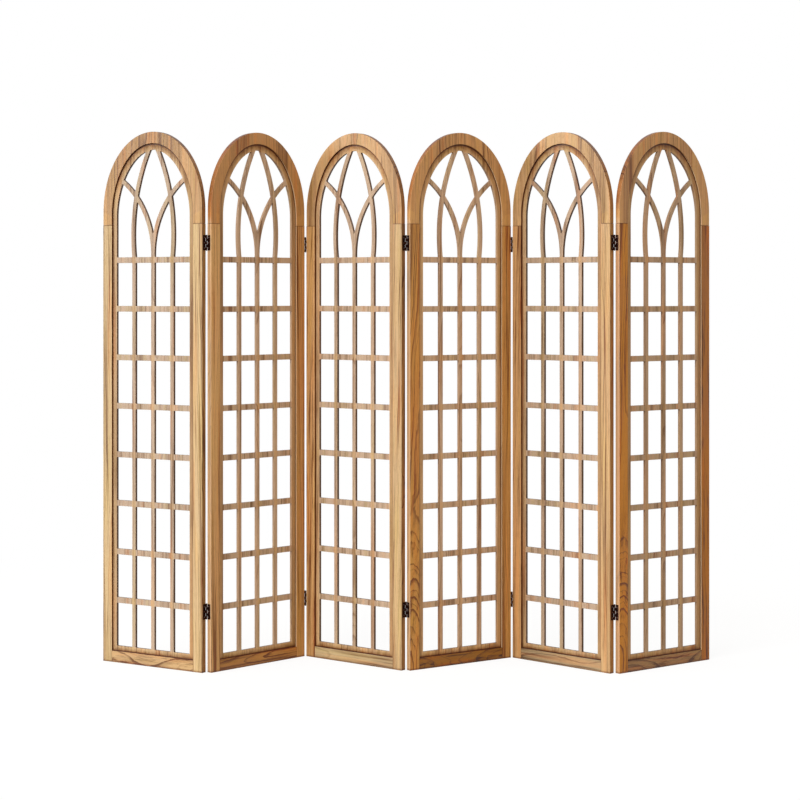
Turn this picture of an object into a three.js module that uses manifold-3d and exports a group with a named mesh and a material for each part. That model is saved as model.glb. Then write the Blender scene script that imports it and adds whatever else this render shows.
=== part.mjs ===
// A folding screen of arched wooden panels, hinged edge to edge and stood in a zigzag.
//
// Each panel is a grooved frame (two stiles, an arch head and a bottom rail) round one flat pierced
// lattice. Tenons join the frame, and the lattice sits in the groove. Pairs of butt hinges join
// each panel to the next, with the barrel on the back of a fold that points to the front, and on
// the front of a fold that points to the back, so the whole screen folds into one flat stack.
//
// Millimetres, +Z up. The front looks to -Y, and +X runs along the screen to the viewer's right.
// A panel is drawn in its own space: x from its middle, y from its front face back, z from the floor.

import * as THREE from "three";
import { mergeVertices } from "three/addons/utils/BufferGeometryUtils.js";
import Module from "manifold-3d";

const wasm = await Module();
wasm.setup();

// ---- Driving dimensions ----

// The screen: one turn for each panel, in degrees, positive where its right edge stands back.
const PANEL_TURNS = [-31.8, 46, -39, 34.7, -43.9, 37.5];
const PANEL_WIDTH = 400;
const PANEL_HEIGHT = 1700;
const PANEL_THICKNESS = 18;

// The frame
const STILE_FACE = 35.5;
const RAIL_FACE = 36;
const CROWN_FACE = 37; // the arch head's wood at the top of the arch
const OUTER_RISE = 252; // from the end of the straight outer edge up to the crown
const INNER_RISE = 230;
const FOOT = 43; // straight part of the arch head, above the seam
const FULL_ARCH = 2; // the exponent of an ellipse

// The frame's joints
const GROOVE_DEPTH = 8;
const STILE_TENON_LENGTH = 26;
const STILE_TENON_SHOULDER = 7; // from the stile's outer edge
const STILE_TENON_CLEARANCE = 2.5; // from the groove's floor
const RAIL_TENON_LENGTH = 20;
const RAIL_TENON_SHOULDER = 5; // from the rail's lower edge
const JOINT_GAP = 0.3;

// The lattice
const LATTICE_THICKNESS = 9;
const LATTICE_SETBACK = 4.5; // from the frame's front face
const BORDER = 17.5; // seen beside the frame at the sides and the foot
const CROWN_BORDER = 20;
const OPENING_RISE = 210;
const OPENING_ARCH = 1.88; // a little flatter at the haunches than an ellipse
const UPRIGHT_BAR = 14;
const LEVEL_BAR = 18.4;
const COLUMNS = 4;
const ROWS = 8;
const TRACERY_DROP = 131; // from the opening's spring down to the top level bar

// The curved bars over the top level bar
const MULLION_RADIUS = 610;
const MULLION_BELLY = 70; // height over the top bar where a mullion stands furthest out
const ARM_RADIUS = 290;
const ARM_START = 6; // height over the top bar where the arms start to part

// The hinges
const LOWER_HINGE_HEIGHT = 190; // to the hinge's middle
const UPPER_HINGE_DROP = 60; // from the seam down to the hinge's middle
const HINGE_LENGTH = 48;
const LEAF_WIDTH = 13.5; // on the panel's edge
const LEAF_THICKNESS = 1.1;
const LEAF_PARTING = 0.6; // between two closed leaves
const BARREL_RADIUS = 2.6;
const AXIS_STANDOFF = 2.6; // from the panel's face to the hinge axis
const KNUCKLES = 5;
const KNUCKLE_GAP = 0.25;
const RUNNING_GAP = 0.3; // round a barrel, beside it
const PIN_RADIUS = 1.15;
const PIN_PLAY = 0.06;
const PIN_HEAD_RADIUS = 2.1;
const PIN_HEAD_HEIGHT = 1;

// How finely curves are cut
const ARCH_STEPS = 16;
const ARC_STEPS = 7;
const ROUND_STEPS = 8;

const WOOD = {
  stile: 0xc98f57,
  head: 0xcf9860,
  rail: 0xc48b55,
  lattice: 0xc39a70,
};
const WOOD_ROUGHNESS = 0.55;
const HINGE_COLOUR = 0x1c130f;
const HINGE_ROUGHNESS = 0.4;
const HINGE_METALNESS = 0.85;

// ---- What follows from them ----

const HALF_WIDTH = PANEL_WIDTH / 2;
const FRAME_INNER = HALF_WIDTH - STILE_FACE;
const OPENING_HALF = FRAME_INNER - BORDER;
const OPENING_FOOT = RAIL_FACE + BORDER;

const OUTER_SPRING = PANEL_HEIGHT - OUTER_RISE;
const SEAM = OUTER_SPRING - FOOT;
const INNER_SPRING = PANEL_HEIGHT - CROWN_FACE - INNER_RISE;
const OPENING_SPRING = PANEL_HEIGHT - CROWN_FACE - CROWN_BORDER - OPENING_RISE;

const GROOVE_FRONT = LATTICE_SETBACK - JOINT_GAP;
const LATTICE_BACK = LATTICE_SETBACK + LATTICE_THICKNESS;
const GROOVE_BACK = LATTICE_BACK + JOINT_GAP;
const TONGUE = GROOVE_DEPTH - JOINT_GAP;

const TOP_BAR = OPENING_SPRING - TRACERY_DROP; // upper edge of the top level bar
const ROW_PITCH = (TOP_BAR - OPENING_FOOT) / ROWS;
const COLUMN_PITCH = (2 * OPENING_HALF + UPRIGHT_BAR) / COLUMNS;

const HINGE_HEIGHTS = { lower: LOWER_HINGE_HEIGHT, upper: SEAM - UPPER_HINGE_DROP };
const LEAF_SEAT = JOINT_GAP;
const FOLD_GAP = 2 * (LEAF_SEAT + LEAF_THICKNESS) + LEAF_PARTING;
const KNUCKLE_PITCH = (HINGE_LENGTH + KNUCKLE_GAP) / KNUCKLES;

const THROUGH = 1; // how far a cutter runs past the face that it cuts
const SAME_POINT = 1e-4; // corners closer than this are one

// ---- Solids ----

function solidOf(geometry) {
  const bare = geometry.clone();
  bare.deleteAttribute("normal");
  bare.deleteAttribute("uv");
  const merged = mergeVertices(bare, SAME_POINT);
  return new wasm.Manifold(
    new wasm.Mesh({
      numProp: 3,
      vertProperties: merged.attributes.position.array,
      triVerts: new Uint32Array(merged.index.array),
    }),
  );
}

function meshOf(name, solid, colour, roughness, metalness) {
  const data = solid.getMesh();
  const shared = new THREE.BufferGeometry();
  shared.setAttribute("position", new THREE.BufferAttribute(data.vertProperties, 3));
  shared.setIndex(new THREE.BufferAttribute(data.triVerts, 1));
  const geometry = shared.toNonIndexed();
  geometry.computeVertexNormals();
  const material = new THREE.MeshStandardMaterial({ color: colour, roughness, metalness });
  const mesh = new THREE.Mesh(geometry, material);
  mesh.name = name;
  return mesh;
}

const woodMesh = (name, solid, colour) => meshOf(name, solid, colour, WOOD_ROUGHNESS, 0);
const hingeMesh = (name, solid) =>
  meshOf(name, solid, HINGE_COLOUR, HINGE_ROUGHNESS, HINGE_METALNESS);

// A block between two corners, given in any order.
function block([x0, x1], [y0, y1], [z0, z1]) {
  const box = new THREE.BoxGeometry(Math.abs(x1 - x0), Math.abs(y1 - y0), Math.abs(z1 - z0));
  box.translate((x0 + x1) / 2, (y0 + y1) / 2, (z0 + z1) / 2);
  return solidOf(box);
}

// An upright outline, given as x and height, cut from wood between two depths.
function board(outline, front, back) {
  const options = { depth: back - front, bevelEnabled: false, curveSegments: ARC_STEPS };
  const geometry = new THREE.ExtrudeGeometry(outline, options);
  geometry.rotateX(Math.PI / 2);
  geometry.translate(0, back, 0);
  return solidOf(geometry);
}

function cylinder(radius, bottom, top) {
  const geometry = new THREE.CylinderGeometry(radius, radius, top - bottom, ROUND_STEPS);
  geometry.rotateX(Math.PI / 2);
  geometry.translate(0, 0, (bottom + top) / 2);
  return solidOf(geometry);
}

// ---- Outlines ----

// A door shape: straight sides from the foot to the spring, and an arch over them.
function archOutline(halfWidth, foot, spring, rise, fullness) {
  const outline = new THREE.Shape();
  outline.moveTo(-halfWidth, foot);
  for (let i = 0; i <= ARCH_STEPS; i++) {
    const angle = Math.PI * (1 - i / ARCH_STEPS);
    const across = Math.cos(angle);
    const up = Math.max(Math.sin(angle), 0);
    const x = halfWidth * Math.sign(across) * Math.abs(across) ** (2 / fullness);
    outline.lineTo(x, spring + rise * up ** (2 / fullness));
  }
  outline.lineTo(halfWidth, foot);
  return outline;
}

// A bar of even width along an arc. Side 1 is as drawn, and side -1 is its mirror image.
function arcBar(side, centreX, centreZ, radius, from, to) {
  const turn = (angle) => (side > 0 ? angle : Math.PI - angle);
  const clockwise = (side > 0) === (from > to);
  const bar = new THREE.Shape();
  const x = side * centreX;
  bar.absarc(x, centreZ, radius + UPRIGHT_BAR / 2, turn(from), turn(to), clockwise);
  bar.absarc(x, centreZ, radius - UPRIGHT_BAR / 2, turn(to), turn(from), !clockwise);
  return bar;
}

// A side mullion starts over its straight bar, bellies out, and leans in to the crown.
function mullion(side) {
  const centreZ = TOP_BAR + MULLION_BELLY;
  const start = -Math.asin((MULLION_BELLY + LEVEL_BAR / 2) / MULLION_RADIUS);
  const inset = Math.sqrt(MULLION_RADIUS ** 2 - MULLION_BELLY ** 2);
  const end = Math.acos(Math.max((inset - COLUMN_PITCH - UPRIGHT_BAR) / MULLION_RADIUS, 0));
  return arcBar(side, COLUMN_PITCH - inset, centreZ, MULLION_RADIUS, start, end);
}

// An arm leaves the middle bar upright and leans out to the side of the arch.
function arm(side) {
  const end = Math.acos(Math.max(1 - FRAME_INNER / ARM_RADIUS, 0));
  return arcBar(side, ARM_RADIUS, TOP_BAR + ARM_START, ARM_RADIUS, Math.PI, Math.PI - end);
}

// ---- The pieces of a panel ----

function archHead() {
  const outer = archOutline(HALF_WIDTH, SEAM + JOINT_GAP, OUTER_SPRING, OUTER_RISE, FULL_ARCH);
  const below = SEAM - THROUGH;
  const inner = archOutline(FRAME_INNER, below, INNER_SPRING, INNER_RISE, FULL_ARCH);
  const grooveHalf = FRAME_INNER + GROOVE_DEPTH;
  const grooveRise = INNER_RISE + GROOVE_DEPTH;
  const groove = archOutline(grooveHalf, below, INNER_SPRING, grooveRise, FULL_ARCH);
  let head = board(outer, 0, PANEL_THICKNESS)
    .subtract(board(inner, -THROUGH, PANEL_THICKNESS + THROUGH))
    .subtract(board(groove, GROOVE_FRONT, GROOVE_BACK));
  for (const side of [-1, 1]) {
    const mortise = block(
      [side * (HALF_WIDTH - STILE_TENON_SHOULDER + JOINT_GAP), side * (grooveHalf - THROUGH)],
      [GROOVE_FRONT, GROOVE_BACK],
      [below, SEAM + STILE_TENON_LENGTH + JOINT_GAP],
    );
    head = head.subtract(mortise);
  }
  return head;
}

function stile(side) {
  const outer = side * HALF_WIDTH;
  const inner = side * FRAME_INNER;
  const past = side * (FRAME_INNER - THROUGH);
  const grooveFloor = side * (FRAME_INNER + GROOVE_DEPTH);
  const mortiseFloor = side * (FRAME_INNER + RAIL_TENON_LENGTH + JOINT_GAP);
  const mortiseFoot = RAIL_TENON_SHOULDER - JOINT_GAP;
  const mortiseTop = RAIL_FACE - GROOVE_DEPTH + JOINT_GAP;
  const grooveDepths = [GROOVE_FRONT, GROOVE_BACK];
  const tenon = block(
    [side * (HALF_WIDTH - STILE_TENON_SHOULDER), grooveFloor + side * STILE_TENON_CLEARANCE],
    [LATTICE_SETBACK, LATTICE_BACK],
    [SEAM - THROUGH, SEAM + STILE_TENON_LENGTH],
  );
  const groove = block([past, grooveFloor], grooveDepths, [mortiseFoot, SEAM + THROUGH]);
  const mortise = block([past, mortiseFloor], grooveDepths, [mortiseFoot, mortiseTop]);
  return block([outer, inner], [0, PANEL_THICKNESS], [0, SEAM])
    .add(tenon)
    .subtract(groove)
    .subtract(mortise);
}

function bottomRail() {
  const end = FRAME_INNER - JOINT_GAP;
  const reach = FRAME_INNER + RAIL_TENON_LENGTH;
  const grooveFloor = RAIL_FACE - GROOVE_DEPTH;
  const tenons = block(
    [-reach, reach],
    [LATTICE_SETBACK, LATTICE_BACK],
    [RAIL_TENON_SHOULDER, grooveFloor],
  );
  const groove = block(
    [-HALF_WIDTH, HALF_WIDTH],
    [GROOVE_FRONT, GROOVE_BACK],
    [grooveFloor, RAIL_FACE + THROUGH],
  );
  return block([-end, end], [0, PANEL_THICKNESS], [0, RAIL_FACE]).add(tenons).subtract(groove);
}

function lattice() {
  const edge = FRAME_INNER + TONGUE;
  const foot = RAIL_FACE - TONGUE;
  const sheet = archOutline(edge, foot, INNER_SPRING, INNER_RISE + TONGUE, FULL_ARCH);
  const field = archOutline(
    OPENING_HALF,
    OPENING_FOOT,
    OPENING_SPRING,
    OPENING_RISE,
    OPENING_ARCH,
  );
  const depths = [LATTICE_SETBACK - THROUGH, LATTICE_BACK + THROUGH];
  const barTop = TOP_BAR - LEVEL_BAR / 2;
  let open = board(field, ...depths);
  for (let column = 1; column < COLUMNS; column++) {
    const x = (column - COLUMNS / 2) * COLUMN_PITCH;
    const half = UPRIGHT_BAR / 2;
    const foots = [OPENING_FOOT - THROUGH, barTop];
    open = open.subtract(block([x - half, x + half], depths, foots));
  }
  for (let row = 1; row <= ROWS; row++) {
    const top = OPENING_FOOT + row * ROW_PITCH;
    const bar = block([-HALF_WIDTH, HALF_WIDTH], depths, [top - LEVEL_BAR, top]);
    open = open.subtract(bar);
  }
  const stem = [-UPRIGHT_BAR / 2, UPRIGHT_BAR / 2];
  open = open.subtract(block(stem, depths, [barTop, TOP_BAR + ARM_START]));
  for (const side of [-1, 1]) {
    open = open.subtract(board(mullion(side), ...depths)).subtract(board(arm(side), ...depths));
  }
  return board(sheet, LATTICE_SETBACK, LATTICE_BACK).subtract(open);
}

// ---- The hinges ----

// One leaf, about the hinge axis: side -1 lies on the panel at the left, and side 1 at the right.
function hingeLeaf(side, ownsKnuckle) {
  const inner = (side * LEAF_PARTING) / 2;
  const outer = side * (LEAF_PARTING / 2 + LEAF_THICKNESS);
  const bottom = -HINGE_LENGTH / 2;
  const notch = -(BARREL_RADIUS + RUNNING_GAP);
  const free = -(AXIS_STANDOFF + LEAF_WIDTH);
  let leaf = block([inner, outer], [free, notch], [bottom, -bottom]);
  for (let i = 0; i < KNUCKLES; i++) {
    if (!ownsKnuckle(i)) continue;
    const foot = bottom + i * KNUCKLE_PITCH;
    const top = foot + KNUCKLE_PITCH - KNUCKLE_GAP;
    const tang = block([inner, outer], [notch - THROUGH, 0], [foot, top]);
    leaf = leaf.add(tang).add(cylinder(BARREL_RADIUS, foot, top));
  }
  const flat = Math.cos(Math.PI / ROUND_STEPS);
  const boreRadius = (PIN_RADIUS + PIN_PLAY) / flat;
  return leaf.subtract(cylinder(boreRadius, bottom - THROUGH, -bottom + THROUGH));
}

function hingePin() {
  const rim = HINGE_LENGTH / 2 + KNUCKLE_GAP;
  const end = rim + PIN_HEAD_HEIGHT;
  const upperHalf = [
    [PIN_RADIUS, rim],
    [PIN_HEAD_RADIUS, rim],
    [PIN_HEAD_RADIUS, end],
    [0, end],
  ];
  const lowerHalf = upperHalf.map(([r, z]) => [r, -z]).reverse();
  const profile = [...lowerHalf, ...upperHalf].map(([r, z]) => new THREE.Vector2(r, z));
  const geometry = new THREE.LatheGeometry(profile, ROUND_STEPS);
  geometry.rotateX(Math.PI / 2);
  return solidOf(geometry);
}

// ---- The screen ----

const screen = new THREE.Group();

// Folds are counted from the left. The first points to the viewer, and they take turns.
const pointsToFront = (fold) => fold % 2 === 0;

// Where a fold's hinge axis stands in the space of the panel at its left (side 1) or right (-1).
function foldAxis(fold, side) {
  const depth = pointsToFront(fold) ? PANEL_THICKNESS + AXIS_STANDOFF : -AXIS_STANDOFF;
  return new THREE.Vector3(side * (HALF_WIDTH + FOLD_GAP / 2), depth, 0);
}

const upright = new THREE.Vector3(0, 0, 1);
const turnOf = (index) => THREE.MathUtils.degToRad(PANEL_TURNS[index]);

// Each panel's left axis is put on the right axis of the panel before it.
const panels = PANEL_TURNS.map(() => new THREE.Group());
panels.forEach((panel, index) => {
  panel.rotation.z = turnOf(index);
  if (index > 0) {
    const before = panels[index - 1];
    const axis = foldAxis(index - 1, 1).applyAxisAngle(upright, turnOf(index - 1));
    const own = foldAxis(index - 1, -1).applyAxisAngle(upright, turnOf(index));
    panel.position.copy(before.position).add(axis).sub(own);
  }
  screen.add(panel);
});

const framePieces = [
  ["left_stile", stile(-1), WOOD.stile],
  ["right_stile", stile(1), WOOD.stile],
  ["arch_head", archHead(), WOOD.head],
  ["bottom_rail", bottomRail(), WOOD.rail],
  ["lattice", lattice(), WOOD.lattice],
];
panels.forEach((panel, index) => {
  for (const [name, solid, colour] of framePieces) {
    panel.add(woodMesh(`panel_${index + 1}_${name}`, solid, colour));
  }
});

// The leaf on the panel at the left holds the outer knuckles, and the other holds those between.
const outerKnuckle = (i) => i % 2 === 0;
const betweenKnuckle = (i) => i % 2 === 1;

function fitHinge(fold, label, height) {
  const name = `hinge_${fold + 1}${fold + 2}_${label}`;
  // A barrel on the front is a barrel on the back turned half round, which swaps its sides.
  const turned = pointsToFront(fold) ? 0 : Math.PI;
  const leftSide = pointsToFront(fold) ? -1 : 1;
  const place = (mesh, panel, axisSide) => {
    mesh.position.copy(foldAxis(fold, axisSide)).setZ(height);
    mesh.rotation.z = turned;
    panel.add(mesh);
  };
  const leftLeaf = hingeLeaf(leftSide, outerKnuckle);
  const rightLeaf = hingeLeaf(-leftSide, betweenKnuckle);
  place(hingeMesh(`${name}_left_leaf`, leftLeaf), panels[fold], 1);
  place(hingeMesh(`${name}_pin`, hingePin()), panels[fold], 1);
  place(hingeMesh(`${name}_right_leaf`, rightLeaf), panels[fold + 1], -1);
}

for (let fold = 0; fold < panels.length - 1; fold++) {
  for (const [label, height] of Object.entries(HINGE_HEIGHTS)) fitHinge(fold, label, height);
}

// The middle of the floor under the whole screen is the origin.
const middle = new THREE.Box3().setFromObject(screen).getCenter(new THREE.Vector3());
screen.position.set(-middle.x, -middle.y, 0);

export default screen;
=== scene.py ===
"""The looks of the arched folding screen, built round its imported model."""

import math
import random

import bpy
import numpy as np
from mathutils import Matrix, Vector
from mathutils.geometry import tessellate_polygon


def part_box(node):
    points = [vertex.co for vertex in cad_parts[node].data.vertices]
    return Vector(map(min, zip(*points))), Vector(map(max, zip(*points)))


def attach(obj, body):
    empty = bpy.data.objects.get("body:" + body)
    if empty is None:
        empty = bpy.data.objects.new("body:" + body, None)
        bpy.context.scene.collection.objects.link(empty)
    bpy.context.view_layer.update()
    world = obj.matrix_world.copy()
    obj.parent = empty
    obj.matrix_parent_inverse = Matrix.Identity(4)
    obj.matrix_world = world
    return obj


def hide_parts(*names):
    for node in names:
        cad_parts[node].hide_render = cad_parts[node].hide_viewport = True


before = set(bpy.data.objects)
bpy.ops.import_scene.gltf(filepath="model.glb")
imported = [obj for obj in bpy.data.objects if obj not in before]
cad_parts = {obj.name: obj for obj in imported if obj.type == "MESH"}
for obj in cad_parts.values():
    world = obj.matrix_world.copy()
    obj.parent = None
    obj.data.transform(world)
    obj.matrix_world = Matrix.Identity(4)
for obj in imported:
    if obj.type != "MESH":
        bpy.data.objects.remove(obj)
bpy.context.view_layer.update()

MM = 0.001

# ---- Sizes in millimetres, as the solids have them ----

PANEL_TURNS = [-31.8, 46, -39, 34.7, -43.9, 37.5]
PANEL_WIDTH = 400
PANEL_HEIGHT = 1700
THICKNESS = 18
STILE_FACE = 35.5
RAIL_FACE = 36
CROWN_FACE = 37
OUTER_RISE = 252
INNER_RISE = 230
FOOT = 43
GROOVE_DEPTH = 8
STILE_TENON_LENGTH = 26
STILE_TENON_SHOULDER = 7
JOINT_GAP = 0.3
LATTICE_THICKNESS = 9
LATTICE_SETBACK = 4.5
BORDER = 17.5
CROWN_BORDER = 20
OPENING_RISE = 210
FULL_ARCH = 2           # an ellipse's exponent
OPENING_ARCH = 1.88
UPRIGHT_BAR = 14
LEVEL_BAR = 18.4
COLUMNS = 4
ROWS = 8
TRACERY_DROP = 131
MULLION_RADIUS = 610
MULLION_BELLY = 70
ARM_RADIUS = 290
ARM_START = 6
LOWER_HINGE_HEIGHT = 190
UPPER_HINGE_DROP = 60
HINGE_LENGTH = 48
LEAF_WIDTH = 13.5
LEAF_THICKNESS = 1.1
LEAF_PARTING = 0.6
BARREL_RADIUS = 2.6
AXIS_STANDOFF = 2.6
KNUCKLES = 5
KNUCKLE_GAP = 0.25
PIN_RADIUS = 1.15
PIN_HEAD_RADIUS = 2.1
PIN_HEAD_HEIGHT = 1

HALF_WIDTH = PANEL_WIDTH / 2
FRAME_INNER = HALF_WIDTH - STILE_FACE
OPENING_HALF = FRAME_INNER - BORDER
OPENING_FOOT = RAIL_FACE + BORDER
OUTER_SPRING = PANEL_HEIGHT - OUTER_RISE
SEAM = OUTER_SPRING - FOOT
INNER_SPRING = PANEL_HEIGHT - CROWN_FACE - INNER_RISE
OPENING_SPRING = PANEL_HEIGHT - CROWN_FACE - CROWN_BORDER - OPENING_RISE
TOP_BAR = OPENING_SPRING - TRACERY_DROP
ROW_PITCH = (TOP_BAR - OPENING_FOOT) / ROWS
COLUMN_PITCH = (2 * OPENING_HALF + UPRIGHT_BAR) / COLUMNS
HINGE_HEIGHTS = {"lower": LOWER_HINGE_HEIGHT, "upper": SEAM - UPPER_HINGE_DROP}
FOLD_GAP = 2 * (JOINT_GAP + LEAF_THICKNESS) + LEAF_PARTING
KNUCKLE_PITCH = (HINGE_LENGTH + KNUCKLE_GAP) / KNUCKLES

# ---- Sizes that only the looks have ----

FRAME_EASE = 1.3        # rounding of the frame's edges
SEAM_EASE = 0.5         # and of the arch head's feet, where they stand on the stiles
LATTICE_EASE = 0.7
CORNER_RADIUS = 1.6     # left by the cutter in the lattice's corners
CORNER_STEPS = 3
ARCH_STEPS = 96
TONGUE_STEPS = 64       # over the lattice's edge, which the groove hides
ARC_STEP = 7            # longest straight piece of a curve in the lattice
STRAIGHT = 0.99999      # cosine of the turn in a side that counts as straight
SHARP_OVER = 38         # degrees between two faces whose edge stays sharp
STRIP = 43              # width of the upright strips that the arch heads are glued from
LEAF_NOTCH = 1.9        # a leaf's clearance round the other leaf's knuckles
LEAF_CORNER = 1.6
LEAF_EASE = 0.22
KNUCKLE_EASE = 0.25
TANG_LAP = 0.6          # a tang starts this far from the axis and ends this far in the plate
ROUND_STEPS = 32
SCREW_HEIGHTS = (-16.5, 0, 16.5)
SCREW_ACROSS = AXIS_STANDOFF + LEAF_WIDTH * 0.52
SCREW_SEAT = 2.5        # radius of the countersunk seat in a leaf
SCREW_PLAY = 0.12       # between a head and its seat, and from a head up to the leaf's face
SCREW_LENGTH = 9
SLOT_HALF = 0.36        # half the width of a screw's slot
SLOT_REACH = 1.45
SLOT_DEPTH = 0.75

random.seed(41)


# ---- Where the panels stand ----

def points_to_front(fold):
    return fold % 2 == 0


def fold_axis(fold, side):
    """A fold's axis in the space of the panel on its left (side 1) or on its right (side -1)."""
    depth = THICKNESS + AXIS_STANDOFF if points_to_front(fold) else -AXIS_STANDOFF
    return Vector((side * (HALF_WIDTH + FOLD_GAP / 2), depth, 0))


def placements():
    """Each panel's matrix in metres, chained from fold to fold as the hinges join them."""
    spins = [Matrix.Rotation(math.radians(turn), 3, "Z") for turn in PANEL_TURNS]
    spots = [Vector((0, 0, 0))]
    for fold in range(len(spins) - 1):
        axis = spots[fold] + spins[fold] @ fold_axis(fold, 1)
        spots.append(axis - spins[fold + 1] @ fold_axis(fold, -1))
    low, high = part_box("panel_1_bottom_rail")
    rail_middle = spins[0] @ Vector((0, THICKNESS / 2, RAIL_FACE / 2))
    shift = (low + high) / 2 / MM - rail_middle
    return [Matrix.Translation((spot + shift) * MM) @ spin.to_4x4()
            for spot, spin in zip(spots, spins)]


PLACES = placements()


# ---- Mesh tools: points in millimetres, x across, y into the panel, z up ----

def round_over(radius, steps=2):
    """A rounded edge as (distance into the wood, depth) from the face to the wall."""
    turns = [math.pi / 2 * i / steps for i in range(steps + 1)]
    return [(radius * (1 - math.sin(t)), radius * (1 - math.cos(t))) for t in turns]


def through(front, back, ease):
    """The profile of a wall from the front face to the back face, both edges rounded."""
    edge = round_over(ease)
    return [(d, front + y) for d, y in edge] + [(d, back - y) for d, y in reversed(edge)]


class Solid:
    """Gathers points and faces for one mesh."""

    def __init__(self):
        self.points = []
        self.faces = []

    def ring(self, points):
        start = len(self.points)
        self.points.extend(points)
        return list(range(start, len(self.points)))

    def bridge(self, a, b):
        """A band of faces between two rings of one length."""
        for i in range(len(a)):
            j = (i + 1) % len(a)
            self.faces.append((a[i], a[j], b[j], b[i]))

    def sheet(self, rings, flip):
        """A flat face between rings that all lie at one depth."""
        order = [index for ring in rings for index in ring]
        outlines = [[Vector(self.points[index]) for index in ring] for ring in rings]
        for triangle in tessellate_polygon(outlines):
            corners = [order[k] for k in triangle]
            a, b, c = (np.array(self.points[index], float) for index in corners)
            faces_front = np.cross(b - a, c - a)[1] < 0
            self.faces.append(corners if faces_front != flip else corners[::-1])

    def prism(self, loops):
        """Flat stock pierced by loops. A loop has points and normals, with the void on its left,
        and its wall's profile."""
        fronts, backs = [], []
        for points, normals, profile in loops:
            rings = []
            for inward, depth in profile:
                moved = points + normals * inward
                rings.append(self.ring([(x, depth, z) for x, z in moved]))
            for a, b in zip(rings, rings[1:]):
                self.bridge(a, b)
            fronts.append(rings[0])
            backs.append(rings[-1])
        self.sheet(fronts, flip=False)
        self.sheet(backs, flip=True)

    def lathe(self, profile, steps):
        """A round form about z from (radius, height) pairs that start and end on the axis."""
        turns = [2 * math.pi * i / steps for i in range(steps)]
        rings = [self.ring([(radius * math.cos(t), radius * math.sin(t), height)
                            for t in (turns if radius else turns[:1])])
                 for radius, height in profile]
        for a, b in zip(rings, rings[1:]):
            for i in range(steps):
                j = (i + 1) % steps
                corners = (a[i % len(a)], a[j % len(a)], b[j % len(b)], b[i % len(b)])
                self.faces.append(tuple(dict.fromkeys(corners)))

    def mesh(self, name):
        """The mesh in metres, smooth but for its sharp edges."""
        mesh = bpy.data.meshes.new(name)
        mesh.from_pydata((np.array(self.points, float) * MM).tolist(), [], self.faces)
        mesh.validate()
        mesh.shade_smooth()
        mesh.set_sharp_from_angle(angle=math.radians(SHARP_OVER))
        return mesh


def add_piece(name, mesh, material, matrix, body, node=None):
    """Puts a piece into the scene, in place of a CAD node if it has one."""
    piece = bpy.data.objects.new(name, mesh)
    bpy.context.scene.collection.objects.link(piece)
    piece.matrix_world = matrix
    # Pieces share meshes, so the material is the object's own
    if not mesh.materials:
        mesh.materials.append(None)
    piece.material_slots[0].link = "OBJECT"
    piece.material_slots[0].material = material
    weighted = piece.modifiers.new("even_shading", "WEIGHTED_NORMAL")
    weighted.keep_sharp = True
    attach(piece, body)
    if node:
        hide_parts(node)


# ---- Outlines in a panel's plane ----

def arch_curve(half, spring, rise, fullness, steps):
    """Points and outward normals over an arch, from its right spring to its left one."""
    angles = np.linspace(0, math.pi, steps + 1)
    across, up = np.cos(angles), np.clip(np.sin(angles), 0, None)
    power = 2 / fullness
    points = np.stack([half * np.sign(across) * abs(across) ** power,
                       spring + rise * up ** power], 1)
    # The gradient of the superellipse's own equation
    px, pz = points[:, 0] / half, (points[:, 1] - spring) / rise
    normals = np.stack([np.sign(px) * abs(px) ** (fullness - 1) / half,
                        np.clip(pz, 0, None) ** (fullness - 1) / rise], 1)
    normals[0], normals[-1] = (1, 0), (-1, 0)
    return points, normals / np.linalg.norm(normals, axis=1)[:, None]


def travel_normals(points):
    """Normals on the right of the way that the points run."""
    tangent = np.gradient(points, axis=0)
    tangent /= np.linalg.norm(tangent, axis=1)[:, None]
    return np.stack([tangent[:, 1], -tangent[:, 0]], 1)


def crossing(a, b):
    """The first place where polyline a meets polyline b, as positions along both."""
    p, r = a[:-1, None], (a[1:] - a[:-1])[:, None]
    q, s = b[None, :-1], (b[1:] - b[:-1])[None]
    cross = r[..., 0] * s[..., 1] - r[..., 1] * s[..., 0]
    cross = np.where(abs(cross) < 1e-12, np.nan, cross)
    gap = q - p
    t = (gap[..., 0] * s[..., 1] - gap[..., 1] * s[..., 0]) / cross
    u = (gap[..., 0] * r[..., 1] - gap[..., 1] * r[..., 0]) / cross
    hits = np.argwhere((t >= 0) & (t < 1) & (u >= 0) & (u < 1))
    i, j = hits[0]
    return i + t[i, j], j + u[i, j]


def along(values, position):
    i = min(int(position), len(values) - 2)
    return values[i] + (values[i + 1] - values[i]) * (position - i)


def cell(curves):
    """A hole bounded by curves that run round it, anticlockwise, each one past its corners."""
    normals = [travel_normals(curve) for curve in curves]
    inset = [curve - n * CORNER_RADIUS for curve, n in zip(curves, normals)]
    count = len(curves)
    corners = [crossing(inset[k], inset[(k + 1) % count]) for k in range(count)]
    points, outward = [], []
    for k in range(count):
        start, end = corners[k - 1][1], corners[k][0]
        length = np.linalg.norm(along(curves[k], end) - along(curves[k], start))
        bent = np.dot(along(normals[k], start), along(normals[k], end)) < STRAIGHT
        pieces = max(1, math.ceil(length / ARC_STEP)) if bent else 1
        for position in np.linspace(start, end, pieces + 1):
            normal = along(normals[k], position)
            points.append(along(inset[k], position) + normal * CORNER_RADIUS)
            outward.append(normal)
        here, there = along(normals[k], end), along(normals[(k + 1) % count], corners[k][1])
        centre = along(inset[k], end)
        for step in range(1, CORNER_STEPS):
            normal = here * (1 - step / CORNER_STEPS) + there * step / CORNER_STEPS
            normal /= np.linalg.norm(normal)
            points.append(centre + normal * CORNER_RADIUS)
            outward.append(normal)
    return np.array(points), np.array(outward)


def line(x0, z0, x1, z1, points=12):
    return np.stack([np.linspace(x0, x1, points), np.linspace(z0, z1, points)], 1)


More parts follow.
